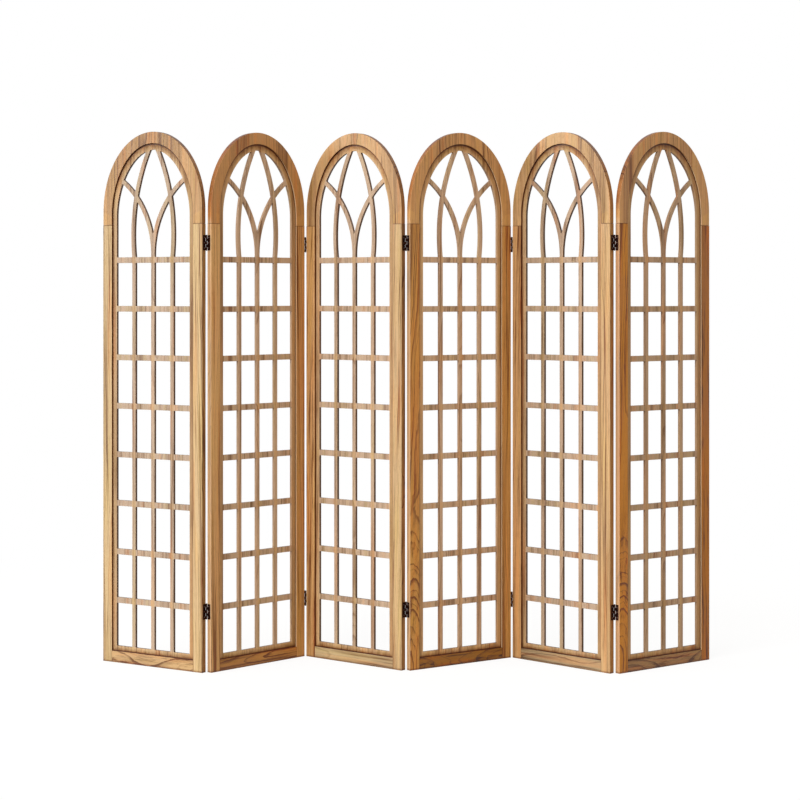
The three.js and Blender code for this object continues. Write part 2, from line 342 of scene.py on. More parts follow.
def arc(cx, cz, radius, start, end, points=240):
    angles = np.linspace(start, end, points)
    return np.stack([cx + radius * np.cos(angles), cz + radius * np.sin(angles)], 1)


def mirrored(*curves):
    """The curves' mirror images across the panel's middle, still anticlockwise."""
    return [curve[::-1] * np.array([-1, 1]) for curve in curves]


def rectangle_cell(left, right, foot, top, past=3):
    return cell([line(left - past, foot, right + past, foot),
                 line(right, foot - past, right, top + past),
                 line(right + past, top, left - past, top),
                 line(left, top + past, left, foot - past)])


def tracery_cells():
    """The holes over the top bar, bounded by curves that run a little past their corners."""
    half_bar = UPRIGHT_BAR / 2
    past = 4
    mullion_x = COLUMN_PITCH - math.sqrt(MULLION_RADIUS ** 2 - MULLION_BELLY ** 2)
    mullion_z = TOP_BAR + MULLION_BELLY
    # The angles that the mullion's arc runs between, in radians
    swing = (math.asin(-(MULLION_BELLY + 2 * past) / MULLION_RADIUS), 0.52)
    arm_z = TOP_BAR + ARM_START
    reach = math.acos(1 - (OPENING_HALF + 3 * past) / ARM_RADIUS)

    def mullion(offset, up=True):
        """A side of the right mullion."""
        start, end = swing if up else swing[::-1]
        return arc(mullion_x, mullion_z, MULLION_RADIUS + offset, start, end)

    def arm(offset, out=True):
        """A side of the right arm, with a straight start below it."""
        bend = arc(ARM_RADIUS, arm_z, ARM_RADIUS + offset, math.pi, math.pi - reach)
        x = bend[0, 0]
        stem = line(x, TOP_BAR - past, x, arm_z)[:-1]
        whole = np.concatenate([stem, bend])
        return whole if out else whole[::-1]

    arch, _ = arch_curve(OPENING_HALF, OPENING_SPRING, OPENING_RISE, OPENING_ARCH, 720)
    side = line(OPENING_HALF, TOP_BAR - past, OPENING_HALF, OPENING_SPRING)[:-1]
    rim = np.concatenate([side, arch])
    sill = line(-past, TOP_BAR, OPENING_HALF + past, TOP_BAR)
    cells = []
    for sides in ([sill, mullion(-half_bar), arm(-half_bar, out=False)],
                  [sill, rim, arm(-half_bar, out=False), mullion(half_bar, up=False)],
                  [arm(half_bar), rim, mullion(half_bar, up=False)]):
        points, normals = cell(sides)
        cells += [(points, normals), mirrored(points, normals)]
    right_mullion, right_arm = mullion(-half_bar), arm(half_bar)
    cells.append(cell([right_arm, right_mullion, arch, *mirrored(right_mullion, right_arm)]))
    return cells


def lattice_mesh():
    edge = FRAME_INNER + GROOVE_DEPTH - JOINT_GAP
    foot = RAIL_FACE - GROOVE_DEPTH + JOINT_GAP
    rise = INNER_RISE + GROOVE_DEPTH - JOINT_GAP
    arch, _ = arch_curve(edge, INNER_SPRING, rise, FULL_ARCH, TONGUE_STEPS)
    outline = np.concatenate([[(-edge, foot), (edge, foot)], arch])[::-1]
    front, back = LATTICE_SETBACK, LATTICE_SETBACK + LATTICE_THICKNESS
    loops = [(outline, np.zeros_like(outline), [(0, front), (0, back)])]
    cells = []
    for row in range(ROWS):
        bottom = OPENING_FOOT + row * ROW_PITCH
        for column in range(COLUMNS):
            left = -OPENING_HALF + column * COLUMN_PITCH
            cells.append(rectangle_cell(left, left + COLUMN_PITCH - UPRIGHT_BAR,
                                        bottom, bottom + ROW_PITCH - LEVEL_BAR))
    wall = through(front, back, LATTICE_EASE)
    loops += [(points, normals, wall) for points, normals in cells + tracery_cells()]
    board = Solid()
    board.prism(loops)
    return board.mesh("lattice")


def arch_head_mesh():
    """The arch head, swept from its right foot to its left one."""
    outer, outer_n = arch_curve(HALF_WIDTH, OUTER_SPRING, OUTER_RISE, FULL_ARCH, ARCH_STEPS)
    inner, inner_n = arch_curve(FRAME_INNER, INNER_SPRING, INNER_RISE, FULL_ARCH, ARCH_STEPS)
    foot = SEAM + JOINT_GAP
    mortise_top = SEAM + STILE_TENON_LENGTH + JOINT_GAP
    mortise = HALF_WIDTH - STILE_TENON_SHOULDER + JOINT_GAP - FRAME_INNER
    # Height, depth of the slot and easing at each level of a straight foot
    levels = [(foot, mortise, SEAM_EASE), (foot + SEAM_EASE, mortise, 0),
              (mortise_top, mortise, 0), (mortise_top, GROOVE_DEPTH, 0)]
    stations = [((HALF_WIDTH, z), (1, 0), (FRAME_INNER, z), (1, 0), slot, ease)
                for z, slot, ease in levels]
    stations += [(outer[i], outer_n[i], inner[i], inner_n[i], GROOVE_DEPTH, 0)
                 for i in range(ARCH_STEPS + 1)]
    stations += [((-HALF_WIDTH, z), (-1, 0), (-FRAME_INNER, z), (-1, 0), slot, ease)
                 for z, slot, ease in reversed(levels)]
    groove = (LATTICE_SETBACK - JOINT_GAP, LATTICE_SETBACK + LATTICE_THICKNESS + JOINT_GAP)
    edge = round_over(FRAME_EASE, 3)
    head, rings = Solid(), []
    for o, o_n, i, i_n, slot, ease in stations:
        o, o_n, i, i_n = (np.array(v, float) for v in (o, o_n, i, i_n))
        front, back = ease, THICKNESS - ease
        ring = [(o - o_n * (d + ease), front + y) for d, y in edge]
        ring += [(o - o_n * (d + ease), back - y) for d, y in reversed(edge)]
        ring += [(i + i_n * (d + ease), back - y) for d, y in edge]
        ring += [(i + i_n * ease, groove[1]), (i + i_n * slot, groove[1]),
                 (i + i_n * slot, groove[0]), (i + i_n * ease, groove[0])]
        ring += [(i + i_n * (d + ease), front + y) for d, y in reversed(edge)]
        rings.append(head.ring([(p[0], y, p[1]) for p, y in ring]))
    for a, b in zip(rings, rings[1:]):
        head.bridge(b, a)
    head.faces += [rings[0], rings[-1][::-1]]
    return head.mesh("arch_head")


# ---- The hinges, about their axis: x across the fold, and the leaf's face at half the parting ----

def circle(cx, cz, radius, steps):
    """A circle, anticlockwise, with its outward normals."""
    turns = np.linspace(0, 2 * math.pi, steps, endpoint=False)
    normals = np.stack([np.cos(turns), np.sin(turns)], 1)
    return np.array([cx, cz]) + normals * radius, normals


def rounded_plate(x0, x1, z0, z1, radii, steps=4):
    """A plate's outline, clockwise, with a radius for each corner from the lower left one."""
    corners = [(x0, z0, 1, 1, 180), (x1, z0, -1, 1, 270), (x1, z1, -1, -1, 0), (x0, z1, 1, -1, 90)]
    points, normals = [], []
    for (x, z, sx, sz, start), radius in zip(corners, radii):
        for step in range(steps + 1):
            turn = math.radians(start + 90 * step / steps)
            normal = np.array([math.cos(turn), math.sin(turn)])
            centre = np.array([x + sx * radius, z + sz * radius])
            points.append(centre + normal * radius)
            normals.append(-normal)
    return np.array(points)[::-1], np.array(normals)[::-1]


def leaf_mesh(side, outer_knuckles):
    """Drawn facing -y, with the plate on the given side of the barrel."""
    leaf = Solid()
    front = LEAF_PARTING / 2
    back = front + LEAF_THICKNESS
    half = HINGE_LENGTH / 2
    near, far = BARREL_RADIUS + LEAF_NOTCH, AXIS_STANDOFF + LEAF_WIDTH
    x0, x1 = sorted((near * side, far * side))
    radii = (0.2, LEAF_CORNER, LEAF_CORNER, 0.2)
    outline, normals = rounded_plate(x0, x1, -half, half, radii if side > 0 else np.roll(radii, 2))
    loops = [(outline, normals, through(front, back, LEAF_EASE))]
    # Down the countersunk seat
    seat = [(0.2, front), (0.05, front + 0.1), (-0.95, back - 0.05), (-0.95, back)]
    for height in SCREW_HEIGHTS:
        points, outward = circle(side * SCREW_ACROSS, height, SCREW_SEAT, 24)
        loops.append((points, outward, seat))
    leaf.prism(loops)
    tang_x = sorted((TANG_LAP * side, (near + TANG_LAP) * side))
    for i in range(0 if outer_knuckles else 1, KNUCKLES, 2):
        foot = -half + i * KNUCKLE_PITCH
        top = foot + KNUCKLE_PITCH - KNUCKLE_GAP
        inner = BARREL_RADIUS - KNUCKLE_EASE
        leaf.lathe([(0, foot), (inner, foot), (BARREL_RADIUS, foot + KNUCKLE_EASE),
                    (BARREL_RADIUS, top - KNUCKLE_EASE), (inner, top), (0, top)], ROUND_STEPS)
        tang, tang_n = rounded_plate(*tang_x, foot, top, (0.1,) * 4, steps=2)
        leaf.prism([(tang, tang_n, through(front, back, 0.2))])
    return leaf.mesh("leaf")


def slot_cross(x, z, turn):
    """The outline of a screw's crossed slots, anticlockwise, and the way each corner widens."""
    points, normals = [], []
    for quarter in range(4):
        angle = turn + quarter * math.pi / 2
        out = np.array([math.cos(angle), math.sin(angle)])
        across = np.array([-out[1], out[0]])
        for half, reach in ((-SLOT_HALF, SLOT_REACH), (SLOT_HALF, SLOT_REACH),
                            (SLOT_HALF, SLOT_HALF)):
            points.append(np.array([x, z]) + out * reach + across * half)
            widen = out + across * (-1 if half < 0 else 1)
            normals.append(widen / np.linalg.norm(widen))
    return np.array(points), np.array(normals)


def screws_mesh(side):
    """The countersunk screws of one leaf, with crossed slots turned as they came to rest."""
    screws = Solid()
    face = LEAF_PARTING / 2 + SCREW_PLAY
    x = side * SCREW_ACROSS
    for height in SCREW_HEIGHTS:
        # From the slots' floor up their wall
        cross, cross_n = slot_cross(x, height, random.uniform(0, math.pi / 2))
        floor, lip = [screws.ring([(px, depth, pz) for px, pz in cross + cross_n * inward])
                      for inward, depth in ((-0.12, face + SLOT_DEPTH), (0, face))]
        screws.bridge(lip, floor)
        screws.sheet([floor], flip=False)
        # From the head's face over its rim and down the cone to the tip
        rim, rim_n = circle(x, height, SCREW_SEAT - SCREW_PLAY, 28)
        heads = [screws.ring([(px, depth, pz) for px, pz in (rim - rim_n * shrink)[::-1]])
                 for shrink, depth in ((0.22, face), (0.05, face + 0.06), (0.3, face + 0.3),
                                       (1.0, face + 0.93), (1.05, face + SCREW_LENGTH))]
        for a, b in zip(heads, heads[1:]):
            screws.bridge(a, b)
        screws.sheet([heads[0], lip], flip=False)
        screws.sheet([heads[-1]], flip=True)
    return screws.mesh("screws")


def pin_mesh():
    """A hinge's pin with a domed head at each end."""
    pin = Solid()
    rim = HINGE_LENGTH / 2 + KNUCKLE_GAP
    end = rim + PIN_HEAD_HEIGHT
    upper = [(PIN_RADIUS, rim), (PIN_HEAD_RADIUS - 0.15, rim), (PIN_HEAD_RADIUS, rim + 0.15),
             (PIN_HEAD_RADIUS - 0.1, rim + 0.55), (PIN_HEAD_RADIUS - 0.6, end - 0.12),
             (PIN_HEAD_RADIUS - 1.3, end), (0, end)]
    lower = [(r, -z) for r, z in reversed(upper)]
    pin.lathe(lower + upper, 28)
    return pin.mesh("pin")


# ---- Node helpers ----

class Nodes:
    """Adds nodes to one tree and links them."""

    def __init__(self, tree):
        self.tree = tree

    def link(self, a, b):
        self.tree.links.new(a, b)

    def fill(self, socket, value):
        if isinstance(value, bpy.types.NodeSocket):
            self.link(value, socket)
        else:
            socket.default_value = value

    def add(self, kind, inputs=None, **settings):
        node = self.tree.nodes.new(kind)
        for key, value in settings.items():
            setattr(node, key, value)
        for key, value in (inputs or {}).items():
            self.fill(node.inputs[key], value)
        return node

    def math(self, operation, *values, clamp=False):
        return self.add("ShaderNodeMath", dict(enumerate(values)), operation=operation,
                        use_clamp=clamp).outputs[0]

    def plus(self, a, b):
        return self.math("ADD", a, b)

    def minus(self, a, b):
        return self.math("SUBTRACT", a, b)

    def times(self, a, b):
        return self.math("MULTIPLY", a, b)

    def size(self, value):
        return self.math("ABSOLUTE", value)

    def vector(self, operation, *values):
        return self.add("ShaderNodeVectorMath", dict(enumerate(values)),
                        operation=operation).outputs[0]

    def length(self, vector):
        return self.add("ShaderNodeVectorMath", {0: vector}, operation="LENGTH").outputs["Value"]

    def parts(self, vector):
        return self.add("ShaderNodeSeparateXYZ", {0: vector}).outputs

    def joined(self, x, y):
        return self.add("ShaderNodeCombineXYZ", {"X": x, "Y": y}).outputs[0]

    def noise(self, place, scale, detail, rough):
        return self.add("ShaderNodeTexNoise", {"Vector": place, "Scale": scale, "Detail": detail,
                                               "Roughness": rough}).outputs

    def line_noise(self, place, scale, detail):
        return self.add("ShaderNodeTexNoise", {"W": place, "Scale": scale, "Detail": detail},
                        noise_dimensions="1D").outputs["Fac"]

    def draw(self, number):
        """A random value and colour for each whole number."""
        return self.add("ShaderNodeTexWhiteNoise", {"W": number}, noise_dimensions="1D").outputs

    def band(self, value, low, high, to_low=0, to_high=1):
        """A soft step from to_low at low to to_high at high."""
        return self.add("ShaderNodeMapRange", {"Value": value, "From Min": low, "From Max": high,
                                               "To Min": to_low, "To Max": to_high},
                        interpolation_type="SMOOTHSTEP").outputs["Result"]

    def mix(self, factor, a, b, blend="MIX"):
        node = self.add("ShaderNodeMix", data_type="RGBA", blend_type=blend, clamp_factor=True)
        for index, value in ((0, factor), (6, a), (7, b)):
            self.fill(node.inputs[index], value)
        return node.outputs[2]

    # Multiplies a tint over the colour, for real stains and for painted shade alike
    def multiply_tint(self, factor, colour, tint):
        return self.mix(factor, colour, tint, "MULTIPLY")


def new_material(name):
    """A material with no nodes yet, and the helper that adds them."""
    material = bpy.data.materials.new(name)
    material.use_nodes = True
    material.node_tree.nodes.clear()
    return material, Nodes(material.node_tree)


def rgb(red, green, blue):
    """A linear colour from the 0 to 255 numbers of a picture."""
    return tuple((c / 255 / 12.92) if c / 255 <= 0.04045 else ((c / 255 + 0.055) / 1.055) ** 2.4
                 for c in (red, green, blue)) + (1,)


# ---- Colours, soft tints, and stains and painted shade that multiply the colour under them ----

FRAME_LIGHT = rgb(227, 174, 116)
FRAME_DARK = rgb(118, 70, 31)
LATTICE_LIGHT = rgb(216, 173, 124)
LATTICE_DARK = rgb(146, 103, 64)
LIT_WALL = rgb(252, 220, 174)
PAINTED_SIDE_HIGHLIGHT = rgb(240, 206, 166)
REDDISH = (0.9, 0.46, 0.28, 1)
OLIVE = (0.5, 0.53, 0.28, 1)
RUBBED = (1, 0.86, 0.66, 1)
PORE_STAIN = (0.45, 0.32, 0.22, 1)
END_STAIN = (0.5, 0.38, 0.28, 1)
PAINTED_RECESS_SHADE = (0.2, 0.08, 0.02, 1)
PAINTED_SIDE_SHADE = (0.6, 0.46, 0.3, 1)
JOINT_STAIN = (0.5, 0.36, 0.24, 1)
FOOT_DARKENING = (0.45, 0.34, 0.25, 1)
BAR_STAIN = (0.9, 1.0, 1.34, 1)
BLOTCHY_STAIN_AND_SHADE = (0.5, 0.36, 0.22, 1)
PAINTED_GROOVE_SHADE = (0.26, 0.12, 0.05, 1)
RIGHT_BORDER_DARKENING = (0.6, 0.5, 0.4, 1)
PAINTED_WALL_SHADE = (0.28, 0.21, 0.16, 1)


def timber_group():
    """Sawn timber. Place is in metres, with the grain along z and the tree's heart on the
    z axis."""
    tree = bpy.data.node_groups.new("timber", "ShaderNodeTree")
    for name, kind, out in (("Place", "Vector", "INPUT"), ("Ring", "Float", "INPUT"),
                            ("Figure", "Float", "INPUT"), ("Grain", "Float", "INPUT"),
                            ("Wander", "Float", "INPUT"), ("Tone", "Float", "INPUT"),
                            ("Light", "Color", "INPUT"), ("Dark", "Color", "INPUT"),
                            ("Color", "Color", "OUTPUT"), ("Roughness", "Float", "OUTPUT"),
                            ("Height", "Float", "OUTPUT")):
        tree.interface.new_socket(name, in_out=out, socket_type=f"NodeSocket{kind}")
    n = Nodes(tree)
    source = n.add("NodeGroupInput").outputs
    place = source["Place"]

    def stretched(x, z, detail, rough=0.5, shift=(0, 0, 0), output="Fac"):
        """Noise whose marks are long in the grain: x and z are marks to the metre."""
        scaled = n.vector("MULTIPLY", n.vector("ADD", place, shift), (x, x, z))
        return n.noise(scaled, 1, detail, rough)[output]

    # The trunk wanders along its length, and its rings are uneven
    half = (0.5, 0.5, 0.5)
    wander = n.vector("SUBTRACT", stretched(3, 1.3, 2, 0.45, output="Color"), half)
    wander = n.vector("MULTIPLY", wander, n.joined(source["Wander"], source["Wander"]))
    ripple = n.vector("SUBTRACT", stretched(30, 7, 3, 0.55, output="Color"), half)
    ripple = n.vector("MULTIPLY", ripple, (0.007, 0.007, 0))
    bent = n.vector("ADD", n.vector("ADD", place, wander), ripple)
    count = n.math("DIVIDE", n.length(n.vector("MULTIPLY", bent, (1, 1, 0))), source["Ring"])
    count = n.plus(count, n.times(n.line_noise(count, 0.42, 1), 2.6))
    phase = n.math("FRACT", count)
    strong = n.math("POWER", n.draw(n.math("FLOOR", count))["Value"], 1.6)
    # Each year the wood darkens slowly and ends in a line, which is strong in some years
    band = n.times(n.band(phase, 0.1, 0.92), n.band(phase, 0.93, 1.0, 1, 0))
    line = n.times(n.band(phase, 0.72, 0.94), n.band(phase, 0.95, 1.0, 1, 0))
    late = n.plus(n.times(band, 0.2), n.times(line, n.plus(strong, 0.3)))

    # Fibres, streaks, and pores that open most in the early wood
    fibre = stretched(640, 10, 3, 0.6)
    streak = stretched(105, 1.5, 4, 0.68)
    broad = stretched(38, 0.9, 2, 0.5, (2.3, 4.1, 0.7))
    cloud = stretched(14, 3.4, 3, 0.55, (0.4, 3.3, 1.9))
    hue = stretched(46, 2.2, 2, 0.5, (3.1, 1.7, 5.2))
    pore = n.band(stretched(1500, 42, 1), 0.6, 0.68)
    pore = n.times(pore, n.minus(1.1, line))

    depth = 0.15
    for noise, low, high, share in ((streak, 0.5, 0.7, 0.62), (broad, 0.48, 0.75, 0.4)):
        depth = n.plus(depth, n.band(noise, low, high, 0, share))
    for noise, share in ((cloud, 0.7), (fibre, 0.4), (broad, 1.0), (streak, 1.5)):
        depth = n.plus(depth, n.times(n.minus(noise, 0.5), share))
    # Grain scales the marks about their mean
    depth = n.plus(n.times(n.minus(depth, 0.3), source["Grain"]), 0.15)
    depth = n.plus(depth, n.times(late, source["Figure"]))
    depth = n.math("ADD", depth, source["Tone"], clamp=True)
    colour = n.mix(depth, source["Light"], source["Dark"])
    colour = n.mix(n.band(hue, 0.5, 0.72, 0, 0.5), colour, REDDISH, "SOFT_LIGHT")
    colour = n.mix(n.band(hue, 0.5, 0.29, 0, 0.4), colour, OLIVE, "SOFT_LIGHT")
    colour = n.multiply_tint(n.times(pore, 0.4), colour, PORE_STAIN)

    # Rubbed edges lose some of the finish
    face = n.add("ShaderNodeNewGeometry").outputs
    worn = n.times(n.band(face["Pointiness"], 0.52, 0.62), n.band(cloud, 0.35, 0.6))
    colour = n.mix(n.times(worn, 0.3), colour, RUBBED, "SOFT_LIGHT")

    rough = 0.43
    for value, share in ((pore, 0.14), (line, -0.06), (n.minus(cloud, 0.5), 0.2), (worn, 0.08)):
        rough = n.plus(rough, n.times(value, share))
    height = n.minus(n.plus(n.times(late, 0.5), n.times(fibre, 0.4)), n.times(pore, 0.8))
    sink = n.add("NodeGroupOutput")
    for name, value in (("Color", colour), ("Roughness", rough), ("Height", height)):
        n.link(value, sink.inputs[name])
    return tree


TIMBER = timber_group()


def panel_place(n, panel, in_panel):
    """The panel's own space, for a CAD node's material or for a piece drawn in that space."""
    place = n.add("ShaderNodeTexCoord").outputs["Object"]
    if in_panel:
        return place
    matrix = PLACES[panel]
    back = -(matrix.to_3x3().inverted() @ matrix.translation)
    turn = (0, 0, -math.radians(PANEL_TURNS[panel]))
    return n.add("ShaderNodeMapping", {"Vector": place, "Location": back,
                                       "Rotation": turn}).outputs[0]


def panel_normal(n, panel, in_panel):
    """The way a surface faces in the panel's own space, as its three parts."""
    normal = n.add("ShaderNodeTexCoord").outputs["Normal"]
    if not in_panel:
        turn = (0, 0, -math.radians(PANEL_TURNS[panel]))
        normal = n.add("ShaderNodeMapping", {"Vector": normal, "Rotation": turn},
                       vector_type="NORMAL").outputs[0]
    return n.parts(normal)


def strips(n, place, seed):
    """The place in a board that is glued from upright strips, each from another plank, and a
    tone for each strip."""
    across = n.parts(place)["X"]
    uneven = n.times(n.line_noise(across, 21, 0), 1.1)
    across = n.plus(n.math("DIVIDE", across, STRIP * MM), uneven)
    own = n.draw(n.math("FLOOR", n.plus(across, seed)))
    jump = n.vector("SUBTRACT", own["Color"], (0.5, 0.5, 0.5))
    jump = n.vector("MULTIPLY", jump, (0.07, 0.04, 9))
    tone = n.times(n.minus(own["Value"], 0.5), 0.65)
    return n.vector("ADD", place, jump), tone


def recess(n, spot):
    """How far a point lies from the frame's inner edge, in metres, less than 0 in the opening."""
    inner, spring, rise = FRAME_INNER * MM, INNER_SPRING * MM, INNER_RISE * MM
    over = n.times(n.math("MAXIMUM", n.minus(spot["Z"], spring), 0), inner / rise)
    sides = n.minus(n.length(n.joined(spot["X"], over)), inner)
    foot = n.minus(RAIL_FACE * MM, spot["Z"])
    return n.math("MAXIMUM", sides, foot)


def frame_stain_and_painted_light(n, place, facing, colour):
    """Painted shade lies dark on the wall of the recess, most where it faces right, with a painted
    highlight where it faces left. Painted shade darkens the outer sides that face right and the
    arch head's outer side, and a painted highlight pales the outer sides that face left, below the
    arch.
    Stain lies dark in the joints, and the boards are darker at the foot. Distances are in metres."""
    spot = n.parts(place)
    edge = recess(n, spot)
    # Painted shade on the wall of the recess, most where it faces right, and a painted highlight
    # where it faces left
    wall = n.times(n.band(spot["Y"], 0.0002, 0.0012), n.band(edge, 0.0006, 0.0014, 1, 0))
    wall = n.times(wall, n.band(facing["X"], -0.5, 0.1, 0.2, 1))
    lit = n.times(wall, n.band(facing["X"], -0.5, -0.9, 0, 4.5))
    colour = n.multiply_tint(wall, colour, PAINTED_RECESS_SHADE)
    colour = n.mix(lit, colour, LIT_WALL)
    # Painted shade on the outer sides that face right, and all round the arch head's outer side
    outer = n.times(n.band(edge, 0.02, 0.022), n.band(n.size(facing["Y"]), 0.3, 0.8, 1, 0))
    arch = n.band(spot["Z"], (SEAM + 30) * MM, (SEAM + 90) * MM)
    shaded = n.times(outer, n.math("MAXIMUM", arch, n.band(facing["X"], 0.4, 0.9)))
    colour = n.multiply_tint(shaded, colour, PAINTED_SIDE_SHADE)
    # A painted highlight on the outer sides that face left, below the arch
    low = n.band(spot["Z"], (SEAM + 2) * MM, (SEAM + 30) * MM, 0.5, 0)
    painted_highlight_mask = n.times(n.times(outer, low), n.band(facing["X"], -0.8, -0.95))
    colour = n.mix(painted_highlight_mask, colour, PAINTED_SIDE_HIGHLIGHT)
    seam = n.size(n.minus(spot["Z"], SEAM * MM))
    butt = n.size(n.minus(n.size(spot["X"]), FRAME_INNER * MM))
    butt = n.plus(butt, n.band(spot["Z"], (RAIL_FACE - 1) * MM, RAIL_FACE * MM))
    joint = n.math("MINIMUM", seam, butt)
    colour = n.multiply_tint(n.band(joint, 0.0006, 0.002, 0.6, 0), colour, JOINT_STAIN)
    # The boards are darker towards the bottom, over their lowest 8 mm
    return n.multiply_tint(n.band(spot["Z"], 0.002, 0.008, 0.85, 0), colour, FOOT_DARKENING)


def crossings(n, spot):
    """1 where an upright bar of the lattice crosses a level one."""
    both = n.band(spot["Z"], TOP_BAR * MM, (TOP_BAR + 20) * MM, 1, 0)
    for axis, first, pitch, bar in (("X", -OPENING_HALF, COLUMN_PITCH, UPRIGHT_BAR),
                                    ("Z", OPENING_FOOT, ROW_PITCH, LEVEL_BAR)):
        off = n.math("PINGPONG", n.minus(spot[axis], (first - bar / 2) * MM), pitch * MM / 2)
        both = n.times(both, n.band(off, bar * 0.4 * MM, bar * 0.7 * MM, 1, 0))
    return both


def lattice_stain_and_painted_shade(n, place, facing, colour):
    """Painted shade beside the frame, strongest in the arch and at the foot and broken into
    blotches, bars rubbed paler than the border and the crossings, a darker right border, and
    painted shade on the sawn walls, most where they face away from the window. Distances are in
    metres."""
    spot = n.parts(place)
    edge = recess(n, spot)
    bar = n.times(n.band(edge, -0.0185, -0.0155, 1, 0),
                  n.minus(1, n.times(crossings(n, spot), 0.85)))
    colour = n.multiply_tint(bar, colour, BAR_STAIN)
    # Painted shade beside the frame, strongest in the arch and at the foot, mixed with blotchy
    # stain
    blotch = n.noise(place, 90, 3, 0.6)["Fac"]
    spread = n.plus(n.band(spot["Z"], INNER_SPRING * MM, PANEL_HEIGHT * MM, 0.4, 2),
                    n.band(spot["Z"], RAIL_FACE * MM, (OPENING_FOOT + 6) * MM, 1.4, 0))
    soft = n.times(n.band(edge, -0.018, -0.004), n.times(spread, blotch))
    colour = n.multiply_tint(soft, colour, BLOTCHY_STAIN_AND_SHADE)
    # Painted shade in the corner against the frame
    colour = n.multiply_tint(n.band(edge, -0.0058, -0.0012), colour, PAINTED_GROOVE_SHADE)
    # The right border is darker than the left one
    right = n.times(n.band(edge, -0.0165, -0.014), n.band(spot["X"], 0.1, 0.12, 0, 0.5))
    colour = n.multiply_tint(right, colour, RIGHT_BORDER_DARKENING)
    # Painted shade on the sawn walls, most where they face right, away from the window
    wall = n.band(n.size(facing["Y"]), 0.3, 0.9, 1, 0)
    dark = n.times(wall, n.band(facing["X"], -0.5, 0.5, 0.25, 1))
    return n.multiply_tint(dark, colour, PAINTED_WALL_SHADE)


def wood(name, panel, light, dark, ring=0.006, figure=0.9, in_panel=False, along_x=False,
         heart=(0, 0.1), slope=(0, 0), start=0, swell=None, glued=None, gloss=0.42,
         wander=0.085, grain=1.0, finish=frame_stain_and_painted_light):
    """heart is where the tree's heart lies beside and behind the board, and slope how it leans.
    swell is where along the board, over what length and how far the heart bows to the face."""
    material, n = new_material(name)
    place = at = panel_place(n, panel, in_panel)
    group = n.add("ShaderNodeGroup", node_tree=TIMBER)
    if glued is not None:
        place, tone = strips(n, place, glued)
        n.link(tone, group.inputs["Tone"])
    if along_x:
        quarter = (0, math.radians(90), 0)
        place = n.add("ShaderNodeMapping", {"Vector": place, "Rotation": quarter}).outputs[0]
    height = n.parts(place)["Z"]
    lean = [n.times(height, rise) for rise in slope]
    if swell:
        middle, length, bow = swell
        lean[1] = n.plus(lean[1], n.band(n.size(n.minus(height, middle)), 0, length, bow, 0))
    place = n.vector("ADD", place, n.joined(*lean))
    n.link(n.vector("ADD", place, (heart[0], heart[1], start)), group.inputs["Place"])
    for key, value in (("Ring", ring), ("Figure", figure), ("Grain", grain), ("Wander", wander),
                       ("Light", light), ("Dark", dark)):
        group.inputs[key].default_value = value
    out = group.outputs
    facing = panel_normal(n, panel, in_panel)
    # End grain drinks the finish and goes dark
    end = n.band(n.size(facing["X" if along_x else "Z"]), 0.3, 0.95, 0, 0.9)
    colour = finish(n, at, facing, n.multiply_tint(end, out["Color"], END_STAIN))
    bump = n.add("ShaderNodeBump", {"Height": out["Height"], "Strength": 0.3, "Distance": 0.0004})
    shader = n.add("ShaderNodeBsdfPrincipled", {
        "Base Color": colour, "Roughness": out["Roughness"],
        "Normal": bump.outputs["Normal"], "Specular IOR Level": gloss})
    n.add("ShaderNodeOutputMaterial", {"Surface": shader.outputs[0]})
    return material


def toned(colour, gain, warm):
    """A colour made lighter or darker, and warmer or cooler."""
    red, green, blue, alpha = colour
    return (red * gain, green * gain * (1 - warm), blue * gain * (1 - 2.4 * warm), alpha)


def board_material(name, panel, light=FRAME_LIGHT, dark=FRAME_DARK, gain=1.0, warm=0.0, **more):
    """Wood for one board, cut from a place of its own in the tree."""
    gain *= random.uniform(0.96, 1.04)
    # Painted light: the panels that face the window get a paler colour than the others
    warm += random.uniform(-0.02, 0.03) + (0.05 if panel % 2 else -0.08)
    heart = (random.uniform(-0.03, 0.03), random.uniform(0.03, 0.09))
    slope = (random.uniform(-0.02, 0.02), random.uniform(-0.03, 0.03))
    options = {"heart": heart, "slope": slope, "start": random.uniform(0, 20),
               "ring": random.uniform(0.0045, 0.0075)}
    options.update(more)
    return wood(name, panel, toned(light, gain, warm), toned(dark, gain, warm), **options)


def metal_material(name, dark, light, worn):
    """Cloudy metal with worn specks."""
    material, n = new_material(name)
    place = n.add("ShaderNodeTexCoord").outputs["Object"]
    cloud = n.noise(place, 160, 4, 0.6)["Fac"]
    speck = n.noise(place, 1400, 2, 0.5)["Fac"]
    colour = n.mix(n.band(cloud, 0.4, 0.7), dark, light)
    colour = n.mix(n.band(speck, 0.6, 0.7, 0, 0.6), colour, worn)
    rough = n.plus(0.3, n.times(cloud, 0.25))
    bump = n.add("ShaderNodeBump", {"Height": speck, "Strength": 0.2, "Distance": 0.0001})
    shader = n.add("ShaderNodeBsdfPrincipled", {
        "Base Color": colour, "Roughness": rough, "Normal": bump.outputs["Normal"],
        "Metallic": 0.85})
    n.add("ShaderNodeOutputMaterial", {"Surface": shader.outputs[0]})
    return material


# ---- Dress the panels ----

def dress_node(node, material):
    """Gives a CAD board its material and eased edges. It keeps its own mesh."""
    bevel = node.modifiers.new("eased_edges", "BEVEL")
    bevel.width = FRAME_EASE * MM
    bevel.segments = 3
    bevel.limit_method = "ANGLE"
    bevel.angle_limit = math.radians(40)
    bevel.use_clamp_overlap = False
    bevel.harden_normals = True
    node.data.materials.clear()
    node.data.materials.append(material)
